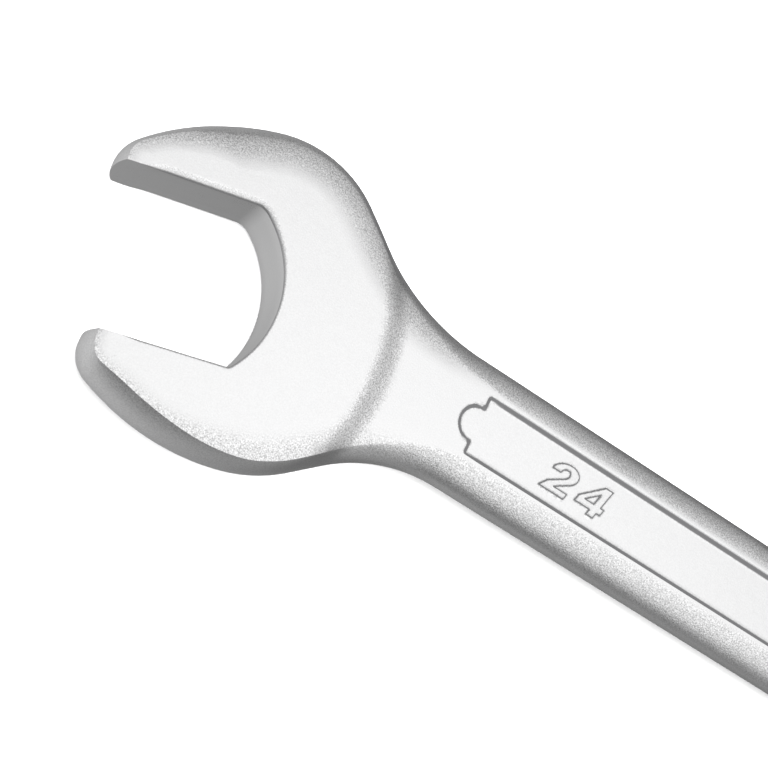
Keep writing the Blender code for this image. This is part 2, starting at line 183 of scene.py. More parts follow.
# Spacing of the shank's grid: how far its close stations and lanes reach past the nubs, the
# shoulders and the digits, and how near a point has to be to be drawn on to an edge of the relief
NUB_REACH = 3.8
SHOULDER_REACH = 0.7
DIGIT_LEAD = 0.25
DIGIT_RUN = 13.05
DIGIT_BLOCK = (-0.3, 13.1)
DIGIT_LANES = 2.9
LANE_CLEARANCE = 0.05
PANEL_DRAW_REACH = 0.06
DIGIT_DRAW_REACH = 0.055
NUDGE = 0.001
LEVEL_TIE = 1e-6
WELD_DECIMALS = 4

# What the skin's attributes say: how milled the bore is from its wall out to its rim, how fast a
# crease fades at its ends, how much the digit tops count as one, and where slopes start and end
BORE_MILLED = (1.0, 1.0, 0.4)
CREASE_FADE = 10.0
# The digit tops take this share of the creases' painted shade, so they come out a little darker than the
# panel
DIGIT_TOP_CREASE = 0.15
SLOPE_START = 0.02
SLOPE_LEAST = 0.2
STEEP = 0.45
SHARP_ANGLE = math.radians(22.0)

# Finish: cells of noise to the metre, shades of grey, among them the painted shade of the creases,
# how much of the grain and of its painted glints shows on level skin, how much of it milling takes
# off, and roughness
GRAIN_SCALE = 4300.0
GLINT_SPECK_SCALE = 4600.0
SWELL_SCALE = 420.0
CLOUD_SCALE = 160.0
DARK_METAL = (0.42, 0.42, 0.421)
BRIGHT_METAL = (0.85, 0.85, 0.853)
# Painted shade: the panel walls and the digit sides are painted this dark grey, standing in for the
# shade in these recesses
CREASE_SHADE_GREY = (0.085, 0.085, 0.087)
# Painted glints: random lighter and darker flecks in the base colour, strongest on slopes, standing in
# for glints off the blasted grain
GLINT_FLECK = 2.5
GLINT_FLECK_LEVEL = 0.1
GLINT_FLECK_MILLED_OFF = 0.8
CLOUD_SHARE = 0.12
GRAIN_LEVEL = 0.3
GRAIN_MILLED_OFF = 0.85
SWELL_SHARE = 0.4
ROUGHNESS = 0.27
ROUGH_CLOUD = 0.06
ROUGH_GRAIN = 0.06
ROUGH_CREASE = 0.10
SMOOTH_MILLED = 0.04
# Dulls the metal in the creases so that their painted shade shows
CREASE_DULLNESS = 0.85
BUMP_HEIGHT = 0.00006

# Studio light: directions, the angles or shares of view where things start and end, and strengths
WHITE = (1.0, 1.0, 1.0, 1.0)
LIGHT_TOWARD = (0.2, -0.15, 0.95)
DOME_ANGLES = (110.0, 45.0)
DOME_STRENGTH = 0.68
PATCH_ANGLES = (47.0, 31.0)
PATCH_STRENGTH = 0.88
ROOM_STRENGTH = 0.24
NEAR_TOWARD = (-0.1, -0.99, 0.0)
NEAR_DIMMING = (-0.4, 0.15)
NEAR_END = (0.65, 0.76)
NEAR_SHARE = 0.72
SIDE_TOWARD = (-0.45, -0.12, 0.0)
SIDE_DIMMING = (-0.07, 0.06)
SIDE_SHARE = 0.78
GROUND_EDGE = (-0.3, 0.1)
GROUND_STRENGTH = 0.235

# Floor and its lamp
FLOOR_HALF = 4.0
FLOOR_GAP = 0.0001
FLOOR_GREY = 0.92
LAMP_SIZE = 3.0
LAMP_HEIGHT = 2.0
LAMP_POWER = 110.0

# Camera: the point of the drawing that it looks at, how far off it stands, and how it is turned
AIM = (30.568, 0.258, 5.25)
DISTANCE = 214.986
LOOK = (0.259105, 0.336640, -0.905284)
ROLL = math.radians(67.35)
FOCAL_LENGTH = 69.74
SENSOR_WIDTH = 36.0
CLIP_START = 0.01

MOUTH = np.array([-math.cos(JAW_ANGLE), -math.sin(JAW_ANGLE)])
ACROSS = np.array([-math.sin(JAW_ANGLE), math.cos(JAW_ANGLE)])
RING_CENTRE = np.array([RING_X, SHANK_Y])


def plan(u, v):
    """Plan points from distances along the mouth (u) and across it (v)."""
    return np.multiply.outer(u, MOUTH) + np.multiply.outer(v, ACROSS)


def smooth(t):
    """Rises from 0 to 1 as 3 t^2 - 2 t^3."""
    t = np.clip(t, 0.0, 1.0)
    return t * t * (3.0 - 2.0 * t)


def unit(vectors):
    """Each vector v as v / |v|."""
    return vectors / np.linalg.norm(vectors, axis=-1, keepdims=True)


def polar(centre, radius, angles):
    """Points c + r (cos a, sin a)."""
    return centre + radius * np.stack([np.cos(angles), np.sin(angles)], axis=-1)


def heading(vector):
    """The angle of a plan vector from +X."""
    return math.atan2(vector[1], vector[0])


def sweep(first, last, turn):
    """The last angle, moved by whole turns to lie past the first one in the direction of turn."""
    while (last - first) * turn < 0.0:
        last += turn * math.tau
    return last


def graded(*stops):
    """Places along a line: each stop is a place and the count of even steps on to the next one."""
    runs = [np.linspace(a, b, n, endpoint=False) for (a, n), (b, _) in zip(stops, stops[1:])]
    return np.append(np.concatenate(runs), stops[-1][0])


# Stations along the shank, close together where the panel ends and at the digits
STATIONS = graded(
    (NECK_X, 8), (PANEL_START_X - NUB_REACH, 24), (PANEL_START_X - PANEL_SLOPE, 6),
    (PANEL_START_X, 5), (PANEL_START_X + SHOULDER_REACH, 10),
    (DIGIT_START_X - DIGIT_LEAD, 111), (DIGIT_START_X + DIGIT_RUN, 38),
    (PANEL_END_X - SHOULDER_REACH, 5), (PANEL_END_X, 6), (PANEL_END_X + PANEL_SLOPE, 24),
    (PANEL_END_X + NUB_REACH, 8), (BEND_X, 9), (RING_START_X, 0),
)
# Lanes across one half of the panel, close together at the digits and the nub
LANES = graded(
    (0.0, 24), (DIGIT_LANES, 4), (PANEL_HALF_WIDTH, 4), (PANEL_HALF_WIDTH + PANEL_SLOPE, 0),
)
LANE_STEPS = 2 * (len(LANES) - 1 + RAIL_LANES)


def face_height(points):
    """Half thickness of the faces: the head, a soft step to the shank, and a ramp up to the ring."""
    from_step = np.linalg.norm(points - np.array(STEP_CENTRE), axis=-1)
    down = smooth((from_step - STEP_RADIUS) / STEP_WIDTH) * (points[..., 0] > 0.0)
    from_ring = np.linalg.norm(points - RING_CENTRE, axis=-1)
    up = smooth((RING_RADIUS + RAMP_LENGTH - from_ring) / RAMP_LENGTH)
    height = HEAD_HALF_THICK + (SHANK_HALF_THICK - HEAD_HALF_THICK) * down
    return height + (RING_HALF_THICK - SHANK_HALF_THICK) * up


def head_arcs(side):
    """Arcs of one side of the head, each touching the next, as centre, radius, first and last
    angle; then the point where the last one leaves off and the heading of the flank there."""
    point = plan(JAW_TIP_U[side], side * JAW_HALF)
    travel = heading(side * ACROSS) + side * TIP_LEAN[side]
    arcs = []
    for radius, turn in HEAD_ARCS[side]:
        first = travel + side * math.pi / 2.0
        last = first - side * math.radians(turn)
        centre = polar(point, -radius, first)
        arcs.append((centre, radius, first, last))
        point = polar(centre, radius, last)
        travel -= side * math.radians(turn)
    return arcs, point, travel


def neck_arc(side):
    """Fillet from the straight flank of the head to the edge of the shank: its centre, the angle
    where it leaves the flank and the angle where it crosses x = NECK_X."""
    _, point, travel = head_arcs(side)
    radius = NECK_RADIUS[side]
    edge_y = SHANK_Y + side * SHANK_HALF_WIDTH
    corner_x = point[0] + (edge_y - point[1]) / math.tan(travel)
    centre = np.array([corner_x + radius * math.tan(abs(travel) / 2.0), edge_y + side * radius])
    return centre, travel - side * math.pi / 2.0, -side * math.acos((NECK_X - centre[0]) / radius)


def ring_neck(side):
    """Centre of the fillet between the edge of the shank and the ring."""
    rise = SHANK_HALF_WIDTH + RING_FILLET
    run = math.sqrt((RING_RADIUS + RING_FILLET) ** 2 - rise**2)
    return np.array([RING_X - run, SHANK_Y + side * rise])


def edge_line(side, x):
    """The outline of the shank at each x, with the neck and ring fillets that run into it."""
    neck, ring = neck_arc(side)[0], ring_neck(side)
    half = np.full(len(x), SHANK_HALF_WIDTH)
    for centre, radius, inside in (
        (neck, NECK_RADIUS[side], x < neck[0]),
        (ring, RING_FILLET, x > ring[0]),
    ):
        off = np.clip(x - centre[0], -radius, radius)
        half = half + np.where(inside, radius - np.sqrt(radius**2 - off**2), 0.0)
    return np.stack([x, SHANK_Y + side * half], axis=-1)


def head_side(side):
    """Outline of one side of the open end from its jaw tip to the neck: three arcs, the straight
    flank and the neck fillet, with the inward direction at each point."""
    arcs, leave, travel = head_arcs(side)
    neck, first, last = neck_arc(side)
    points = []
    outward = []
    for (centre, radius, start, end), steps in zip(arcs, HEAD_STEPS):
        angles = np.linspace(start, end, steps + 1)
        points.append(polar(centre, radius, angles))
        outward.append(polar(0.0, 1.0, angles))
    touch = polar(neck, NECK_RADIUS[side], first)
    share = np.linspace(0.0, 1.0, FLANK_STEPS + 1)[:, None]
    points.append(leave + share * (touch - leave))
    outward.append(np.tile(polar(0.0, 1.0, travel + side * math.pi / 2.0), (FLANK_STEPS + 1, 1)))
    angles = np.linspace(first, last, NECK_STEPS + 1)
    points.append(polar(neck, NECK_RADIUS[side], angles))
    outward.append(polar(0.0, -1.0, angles))
    points = np.concatenate([points[0]] + [part[1:] for part in points[1:]])
    inward = -np.concatenate([outward[0]] + [part[1:] for part in outward[1:]])
    order = np.arange(len(points))
    at_tip = 1.0 - smooth(order / HEAD_STEPS[0])
    at_neck = smooth((order - len(points) + 1 + NECK_STEPS) / NECK_STEPS)
    inward = inward + at_tip[:, None] * (-MOUTH - inward)
    inward = inward + at_neck[:, None] * (np.array([0.0, -side]) - inward)
    return points, unit(inward)


def ring_side(side):
    """Outline of one side of the ring from the shank to its far end, with inward directions."""
    neck = ring_neck(side)
    first = heading(edge_line(side, np.array([RING_START_X]))[0] - neck)
    last = sweep(first, heading(RING_CENTRE - neck), side)
    neck_angles = np.linspace(first, last, RING_FILLET_STEPS + 1)
    touch = heading(neck - RING_CENTRE)
    ring_angles = np.linspace(touch, sweep(touch, 0.0, -side), RING_ARC_STEPS + 1)
    points = np.concatenate([
        polar(neck, RING_FILLET, neck_angles),
        polar(RING_CENTRE, RING_RADIUS, ring_angles[1:]),
    ])
    inward = np.concatenate([polar(0.0, 1.0, neck_angles), polar(0.0, -1.0, ring_angles[1:])])
    at_start = 1.0 - smooth(np.arange(len(points)) / RING_FILLET_STEPS)
    inward = inward + at_start[:, None] * (np.array([0.0, -side]) - inward)
    return points, unit(inward)


def outline_side(side):
    """One side of the outline from jaw tip to ring end, its inward directions, and how far along
    the edge forms each point is: 0 at the jaw tip, 1 on the jaw, 2 on the head, 3 on the shank and
    4 on the ring."""
    head, head_in = head_side(side)
    x = STATIONS[1:-1]
    shank = edge_line(side, x)
    shank_in = np.tile([0.0, -float(side)], (len(x), 1))
    ring, ring_in = ring_side(side)
    run = np.append(0.0, np.cumsum(np.linalg.norm(np.diff(head, axis=0), axis=-1)))
    points = np.concatenate([head, shank, ring])
    inward = np.concatenate([head_in, shank_in, ring_in])
    blend = np.concatenate([
        smooth(run / TIP_BLEND[side]) + smooth((run - ARM_LENGTH) / ARM_BLEND),
        np.full(len(x), 2.0),
        2.0 + smooth(np.arange(len(ring)) / RING_FILLET_STEPS),
    ])
    return points, inward, blend + smooth((points[:, 0] - NECK_BLEND_X[side]) / NECK_BLEND)


def edge_form(side, blend):
    """Width, roll, fullness and crown of the edge at each point of one side of the outline."""
    stack = np.array([TIP_EDGE[side], ARM_EDGE[side], HEAD_EDGE[side], SHANK_EDGE, RING_EDGE])
    return np.stack([np.interp(blend, np.arange(len(stack)), column) for column in stack.T])


def finished(plane, height, milled=0.0, crease=0.0):
    """A grid whose last axis holds x, y, z, how milled the skin is and how deep in a crease."""
    rest = [np.broadcast_to(value, height.shape) for value in (height, milled, crease)]
    return np.concatenate([plane, np.stack(rest, axis=-1)], axis=-1)


def edge_band(side):
    """Top of the rolled edge, from the outline at mid-plane in to the flat of the face: in by
    roll (1 - cos(t)^(2 / fullness)) and up by sin(t), under a face that crowns as a parabola."""
    points, inward, blend = outline_side(side)
    width, roll, fullness, crown = edge_form(side, blend)[:, :, None]
    turn = np.linspace(0.0, math.pi / 2.0, EDGE_STEPS + 1)
    rest = np.linspace(0.0, 1.0, CROWN_STEPS + 1)[1:]
    rolled = roll * (1.0 - np.cos(turn) ** (2.0 / fullness))
    across = np.concatenate([rolled, roll + (width - roll) * rest], axis=1)
    rise = np.concatenate([np.sin(turn), np.ones(CROWN_STEPS)])
    plane = points[:, None] + across[..., None] * inward[:, None]
    crowned = face_height(plane) - crown * (1.0 - across / width) ** 2
    return finished(plane, crowned * rise)


def jaw_line(side, steps):
    """One half of the mouth: the jaw flat from the edge band in, a fillet and the throat's arc."""
    fillet = THROAT_FILLET[side]
    across = JAW_HALF - fillet - side * THROAT_CENTRE_V
    middle_u = THROAT_CENTRE_U - math.sqrt((THROAT_RADIUS - fillet) ** 2 - across**2)
    meet = math.asin(across / (THROAT_RADIUS - fillet))
    fillet_steps = round(steps * FILLET_SHARE)
    flat_steps = round(steps * FLAT_SHARE)
    throat_steps = steps - fillet_steps - flat_steps
    flat_u = np.linspace(JAW_TIP_U[side] - TIP_EDGE[side][0], middle_u, flat_steps + 1)
    turn = np.linspace(math.pi / 2.0, meet, fillet_steps + 1)[1:]
    angle = meet * np.linspace(1.0, LANE_SHARE, throat_steps + 1)[1:]
    u = np.concatenate([
        flat_u, middle_u - fillet * np.cos(turn), THROAT_CENTRE_U - THROAT_RADIUS * np.cos(angle)
    ])
    v = np.concatenate([
        np.full(flat_steps + 1, JAW_HALF),
        JAW_HALF - fillet + fillet * np.sin(turn),
        side * THROAT_CENTRE_V + THROAT_RADIUS * np.sin(angle),
    ])
    return u, side * v


def mouth_path():
    """The whole mouth from the upper jaw flat through the throat to the lower jaw flat."""
    side_steps = sum(HEAD_STEPS) + FLANK_STEPS + NECK_STEPS
    upper_u, upper_v = jaw_line(1, side_steps)
    lower_u, lower_v = jaw_line(-1, side_steps)
    ends = np.arcsin((np.array([upper_v[-1], lower_v[-1]]) - THROAT_CENTRE_V) / THROAT_RADIUS)
    middle = np.linspace(ends[0], ends[1], LANE_STEPS + 1)[1:-1]
    u = np.concatenate([upper_u, THROAT_CENTRE_U - THROAT_RADIUS * np.cos(middle), lower_u[::-1]])
    v = np.concatenate([upper_v, THROAT_CENTRE_V + THROAT_RADIUS * np.sin(middle), lower_v[::-1]])
    return plan(u, v)


def run_out(lead, outer, steps):
    """Face that goes on from the last line of a lead-in strip, straight out to an outer line."""
    share = np.linspace(0.0, 1.0, steps + 1)[1:]
    rim = lead[:, -1, :2]
    plane = rim[:, None] + share[:, None] * (outer - rim)[:, None]
    return np.concatenate([lead, finished(plane, face_height(plane))], axis=1)


def rolled_rim(path):
    """Roll from the mouth's wall on to the face, a quarter of an ellipse: in by e (1 - cos t) and
    down by a share of e (1 - sin t). e goes over from one jaw to the other and fades out at the
    jaw tips."""
    along = unit(np.gradient(path, axis=0))
    left = np.stack([-along[:, 1], along[:, 0]], axis=-1)
    run = np.append(0.0, np.cumsum(np.linalg.norm(np.diff(path, axis=0), axis=-1)))
    change = (run / run[-1] - EDGE_CHANGE_START) / (EDGE_CHANGE_END - EDGE_CHANGE_START)
    edge = JAW_EDGE[1] + (JAW_EDGE[-1] - JAW_EDGE[1]) * smooth(change)
    edge = (edge * smooth(np.minimum(run, run[-1] - run) / EDGE_FADE))[:, None]
    turn = np.linspace(0.0, math.pi / 2.0, RIM_STEPS + 1)
    plane = path[:, None] + (edge * (1.0 - np.cos(turn)))[..., None] * left[:, None]
    drop = JAW_EDGE_DROP * edge * (1.0 - np.sin(turn))
    return finished(plane, face_height(plane) - drop, np.cos(turn))


def bore_rim(angles):
    """Lead-in cone of the twelve-point bore. The bore is two hexagons a twelfth of a turn apart, so
    its radius is half the flats over the cosine of the turn from the middle of the nearest flat."""
    off_corner = np.abs(np.mod(angles + math.pi / 12.0, math.pi / 6.0) - math.pi / 12.0)
    radius = BORE_FLATS / 2.0 / np.cos(math.pi / 6.0 - off_corner)
    share = np.linspace(0.0, 1.0, len(BORE_MILLED))
    radius = radius[:, None] + share * (BORE_CHAMFER_RADIUS - radius)[:, None]
    plane = polar(RING_CENTRE, radius[..., None], angles[:, None])
    drop = BORE_CHAMFER_SLOPE * (BORE_CHAMFER_RADIUS - radius)
    return finished(plane, face_height(plane) - drop, np.array(BORE_MILLED))


def box_distance(points, low, high):
    """Signed distance to an upright rectangle, less than 0 inside it."""
    out = np.abs(points - (low + high) / 2.0) - (high - low) / 2.0
    return np.linalg.norm(np.maximum(out, 0.0), axis=-1) + np.minimum(out.max(axis=-1), 0.0)


def soft_join(a, b, blend):
    """The smaller of two distances, rounded off over a blend width where they are nearly equal."""
    share = np.clip(0.5 + 0.5 * (b - a) / blend, 0.0, 1.0)
    return b + (a - b) * share - blend * share * (1.0 - share)


def panel_distance(points):
    """Signed distance to the panel's floor: a long rectangle with a round nub let in at each end."""
    low = np.array([PANEL_START_X, PANEL_Y - PANEL_HALF_WIDTH])
    high = np.array([PANEL_END_X, PANEL_Y + PANEL_HALF_WIDTH])
    distance = box_distance(points, low, high)
    for nub_x in (PANEL_START_X - NUB_SETBACK, PANEL_END_X + NUB_SETBACK):
        nub = np.linalg.norm(points - np.array([nub_x, PANEL_Y]), axis=-1) - NUB_RADIUS
        distance = soft_join(distance, nub, NUB_FILLET)
    return distance


def outline_distance(points, outline):
    """Signed distance to a closed outline: the nearest of its straight pieces, taken as less than
    0 where a line to the right crosses the outline an odd number of times."""
    start = outline
    run = np.roll(outline, -1, axis=0) - start
    rel = points[..., None, :] - start
    share = np.clip(np.sum(rel * run, axis=-1) / np.sum(run * run, axis=-1), 0.0, 1.0)
    nearest = np.linalg.norm(rel - share[..., None] * run, axis=-1).min(axis=-1)
    above = rel[..., 1] >= 0.0
    crosses = above != (rel[..., 1] >= run[:, 1])
    rise = np.where(crosses, run[:, 1], 1.0)
    right = rel[..., 0] < run[:, 0] * rel[..., 1] / rise
    inside = np.sum(crosses & right, axis=-1) % 2 == 1
    return np.where(inside, -nearest, nearest)


def digit_two():
    """Outline of the 2: an oval bowl, a slanting neck and a flat foot."""
    outer = np.radians(np.linspace(*TWO_OUTER_SWEEP, TWO_OUTER_POINTS))
    inner = np.radians(np.linspace(*TWO_HOLLOW_SWEEP, TWO_HOLLOW_POINTS))
    bowl = TWO_BOWL + TWO_OUTER * np.stack([np.cos(outer), np.sin(outer)], axis=-1)
    hollow = TWO_BOWL + TWO_HOLLOW * np.stack([np.cos(inner), np.sin(inner)], axis=-1)
    foot = [
        [TWO_FOOT_START, DIGIT_BAR], [TWO_WIDTH, DIGIT_BAR], [TWO_WIDTH, 0.0], [0.0, 0.0], TWO_NECK
    ]
    return np.concatenate([bowl, foot, hollow])


def digit_four():
    """Outline of the 4 and of the triangle that it leaves open."""
    left, right = FOUR_START, FOUR_START + FOUR_WIDTH
    stem_right = right - FOUR_STEM_INSET
    stem_left = stem_right - FOUR_STEM
    bar_low, bar_high = FOUR_BAR
    outer = [
        [stem_left - FOUR_TOP_OVERHANG, DIGIT_HEIGHT], [stem_right, DIGIT_HEIGHT],
        [stem_right, bar_high], [right, bar_high], [right, bar_low], [stem_right, bar_low],
        [stem_right, 0.0], [stem_left, 0.0], [stem_left, bar_low], [left, bar_low],
        [left, bar_high + FOUR_CORNER_RISE],
    ]
    opening = [
        [left + FOUR_OPENING_START, bar_high], [stem_left, FOUR_OPENING_TOP], [stem_left, bar_high]
    ]
    return np.array(outer), np.array(opening)


def slanted(outline):
    """Digit points leaning towards the ring and set on the panel."""
    x = DIGIT_START_X + outline[:, 0] + DIGIT_SLANT * outline[:, 1]
    return np.stack([x, PANEL_Y + outline[:, 1] - DIGIT_HEIGHT / 2.0], axis=-1)


def digit_distance(points):
    """Signed distance to the outlines of the size number."""
    four, opening = digit_four()
    two = outline_distance(points, slanted(digit_two()))
    four = outline_distance(points, slanted(four))
    return np.minimum(two, np.maximum(four, -outline_distance(points, slanted(opening))))


def drawn_to(points, distance, levels, reach):
    """Moves each point that is within reach of a level line straight on to that line, so that the
    edges of the relief run along the grid and stay crisp."""
    for level in levels:
        off = distance(points) - level
        slope = np.stack([
            distance(points + np.array(step)) - distance(points - np.array(step))
            for step in ([NUDGE, 0.0], [0.0, NUDGE])
        ], axis=-1) / (2.0 * NUDGE)
        near = np.abs(off) < reach
        points = points - np.where(near, off, 0.0)[..., None] * slope
    return points


def in_crease(rise):
    """How much a slope is a crease: all of it, fading out at its foot and at its brink."""
    return np.clip(CREASE_FADE * np.minimum(rise, 1.0 - rise), 0.0, 1.0)


def shank_plane(upper, lower):
    """Plan grid of the flat of the shank: a row for each station, lanes from lower to upper edge."""
    room = np.minimum(upper - PANEL_Y, PANEL_Y - lower) - LANE_CLEARANCE
    fit = np.minimum(1.0, room / LANES[-1])
    half = LANES * fit[:, None]
    rail = np.linspace(0.0, 1.0, RAIL_LANES + 1)[1:]
    high = half[:, -1:] + rail * (upper - PANEL_Y - half[:, -1])[:, None]
    low = half[:, -1:] + rail * (PANEL_Y - lower - half[:, -1])[:, None]
    across = np.concatenate([-low[:, ::-1], -half[:, :0:-1], half, high], axis=1)
    along = np.broadcast_to(STATIONS[:, None], across.shape)
    return np.stack([along, PANEL_Y + across], axis=-1)


def shank_face(upper, lower, numbered):
    """Flat of the shank with its recessed panel and, on the numbered face, the raised digits. Depth
    falls evenly over the panel's slope, and the digits stand up over a short ramp."""
    plane = shank_plane(upper, lower)
    inner = slice(1 + RAIL_LANES, -1 - RAIL_LANES)
    rows = slice(1, -1)
    levels = (0.0, PANEL_SLOPE)
    plane[rows, inner] = drawn_to(plane[rows, inner], panel_distance, levels, PANEL_DRAW_REACH)
    height = face_height(plane)
    down = np.clip(1.0 - panel_distance(plane) / PANEL_SLOPE, 0.0, 1.0)
    crease = in_crease(down)
    height = height - PANEL_DEPTH * down
    if numbered:
        first, last = DIGIT_START_X + DIGIT_BLOCK[0], DIGIT_START_X + DIGIT_BLOCK[1]
        rows = (STATIONS > first) & (STATIONS < last)
        levels = (-DIGIT_RAMP / 2.0, DIGIT_RAMP / 2.0)
        block = np.ix_(rows, np.arange(plane.shape[1])[inner])
        plane[block] = drawn_to(plane[block], digit_distance, levels, DIGIT_DRAW_REACH)
        up = np.clip(0.5 - digit_distance(plane[block]) / DIGIT_RAMP, 0.0, 1.0)
        height[block] += DIGIT_RELIEF * up
        digit_crease = np.maximum(in_crease(up), DIGIT_TOP_CREASE * up)
        crease[block] = np.maximum(crease[block], digit_crease)
    return finished(plane, height, 0.0, crease)


def wall(top):
    """Upright wall from a line of points down to its mirror below the mid-plane."""
    levels = np.linspace(1.0, -1.0, WALL_LEVELS)
    grid = np.repeat(top[:, None], len(levels), axis=1)
    grid[..., 2] *= levels
    grid[..., 3] = 1.0
    return grid


def mirrored(grid):
    """The grid turned over about the mid-plane z = 0."""
    return grid * np.array([1.0, 1.0, -1.0, 1.0, 1.0])


def body_grids():
    """Every grid of the skin before the ring is tilted, each with whether it is to be turned over."""
    upper = edge_band(1)
    lower = edge_band(-1)
    head_count = sum(HEAD_STEPS) + FLANK_STEPS + NECK_STEPS + 1
    ring_first = head_count + len(STATIONS) - 2
    span = slice(head_count - 1, ring_first + 1)
    shank = shank_face(upper[span, -1, 1], lower[span, -1, 1], True)
    plain = shank_face(upper[span, -1, 1], lower[span, -1, 1], False)

    mouth = mouth_path()
    outer = np.concatenate([
        upper[:head_count, -1, :2], shank[0, ::-1, :2][1:-1], lower[:head_count, -1, :2][::-1]
    ])
    head = run_out(rolled_rim(mouth), outer, HEAD_FACE_STEPS)

    near = np.linspace(360.0 - NECK_TURN, NECK_TURN, LANE_STEPS + 1)[:-1]
    far = np.linspace(NECK_TURN, -NECK_TURN, 2 * (RING_FILLET_STEPS + RING_ARC_STEPS) + 1)
    ring_outer = np.concatenate([
        shank[-1, :-1, :2], upper[ring_first:, -1, :2], lower[ring_first:, -1, :2][::-1][1:]
    ])
    ring = run_out(bore_rim(np.radians(np.concatenate([near, far]))), ring_outer, RING_FACE_STEPS)

    mouth_top = np.concatenate([upper[0], head[1:-1, 0], lower[0, ::-1]])
    grids = [(shank, False), (mirrored(plain), True), (wall(mouth_top), True), (wall(ring[:, 0]), True)]
    for grid, flip in ((upper, True), (lower, False), (head, False), (ring, False)):
        grids += [(grid, flip), (mirrored(grid), not flip)]
    return grids


def triangles(grid, flip, first):
    """Corner numbers of a grid's triangles. Each square is split along its more level diagonal."""
    index = first + np.arange(grid.shape[0] * grid.shape[1]).reshape(grid.shape[:2])
    a, b, c, d = index[:-1, :-1], index[1:, :-1], index[1:, 1:], index[:-1, 1:]
    height = grid[..., 2]
    rise_ac = np.abs(height[:-1, :-1] - height[1:, 1:])
    rise_bd = np.abs(height[1:, :-1] - height[:-1, 1:])
    along_ac = (rise_ac <= rise_bd + LEVEL_TIE)[..., None, None]
    split_ac = np.stack([np.stack([a, b, c], axis=-1), np.stack([a, c, d], axis=-1)], axis=-2)
    split_bd = np.stack([np.stack([a, b, d], axis=-1), np.stack([b, c, d], axis=-1)], axis=-2)
    faces = np.where(along_ac, split_ac, split_bd).reshape(-1, 3)
    return faces[:, ::-1] if flip else faces


def welded(grids):
    """Points and faces of all the grids, with points that share a place made one."""
    faces = []
    count = 0
    for grid, flip in grids:
        faces.append(triangles(grid, flip, count))
        count += grid.shape[0] * grid.shape[1]
    points = np.concatenate([grid.reshape(-1, 5) for grid, _ in grids])
    _, first, index = np.unique(
        np.round(points[:, :3], WELD_DECIMALS), axis=0, return_index=True, return_inverse=True
    )
    faces = index.reshape(-1)[np.concatenate(faces)]
    a, b, c = faces.T
    return points[first], faces[(a != b) & (b != c) & (c != a)]


def tilt_ring(points):
    """Bends the shank up along an arc just before the ring, so that the ring lies at its tilt."""
    radius = BEND_LENGTH / RING_TILT
    past = np.clip(points[:, 0] - BEND_X, 0.0, None)
    angle = np.minimum(past / radius, RING_TILT)
    straight = past - angle * radius
    reach = radius - points[:, 2]
    x = np.minimum(points[:, 0], BEND_X) + reach * np.sin(angle) + straight * np.cos(angle)
    z = radius - reach * np.cos(angle) + straight * np.sin(angle)
    return np.stack([x, points[:, 1], z], axis=-1)


def packed_place(points):
    """How far the drawing moves, in metres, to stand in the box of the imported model."""
    low, high = points.min(axis=0), points.max(axis=0)
    box = np.array(CAD_BOX)
    middle = (low[:2] + high[:2]) / 2.0 * MM
    return np.append(box[:, :2].mean(axis=0) - middle, box[0, 2] - low[2] * MM)


def slopes(mesh):
    """How much each point lies on a slope: 0 on level skin, 1 on a slope, and falling again to
    SLOPE_LEAST where |nz|, the level part of the skin's normal, goes down to STEEP."""
    normals = np.array([entry.vector for entry in mesh.vertex_normals])
    level = np.abs(normals[:, 2])
    steep = SLOPE_LEAST + (1.0 - SLOPE_LEAST) * smooth((level - STEEP) / STEEP)
    return smooth((1.0 - level) / SLOPE_START) * steep


def wrench():
    """The whole wrench as one closed, smooth-shaded skin with its finish held in attributes of its
    points, and how far it was moved."""
    skin, faces = welded(body_grids())
    points = tilt_ring(skin[:, :3])
    moved = packed_place(points)
    mesh = bpy.data.meshes.new("wrench_forging")
    mesh.from_pydata(points * MM + moved, [], faces.tolist())
    mesh.update()
    told = {"milled": skin[:, 3], "crease": skin[:, 4], "slope": slopes(mesh)}
    for name, values in told.items():
        attribute = mesh.attributes.new(name, "FLOAT", "POINT")
        attribute.data.foreach_set("value", values.astype(np.float32))
    mesh.shade_smooth()
    mesh.set_sharp_from_angle(angle=SHARP_ANGLE)
    made = bpy.data.objects.new("wrench_forging", mesh)
    bpy.context.scene.collection.objects.link(made)
    return made, Vector(moved)


class Wire:
    """One output of a shader node. Python's arithmetic on it adds Math nodes."""

    def __init__(self, paint, socket):
        self.paint = paint
        self.socket = socket

    def math(self, operation, first, second):
        return self.paint.node("ShaderNodeMath", {"operation": operation}, {0: first, 1: second})

    def __add__(self, other):
        return self.math("ADD", self, other)

    def __radd__(self, other):
        return self.math("ADD", other, self)

    def __sub__(self, other):
        return self.math("SUBTRACT", self, other)

    def __rsub__(self, other):
        return self.math("SUBTRACT", other, self)

    def __mul__(self, other):
        return self.math("MULTIPLY", self, other)

    def __rmul__(self, other):
        return self.math("MULTIPLY", other, self)


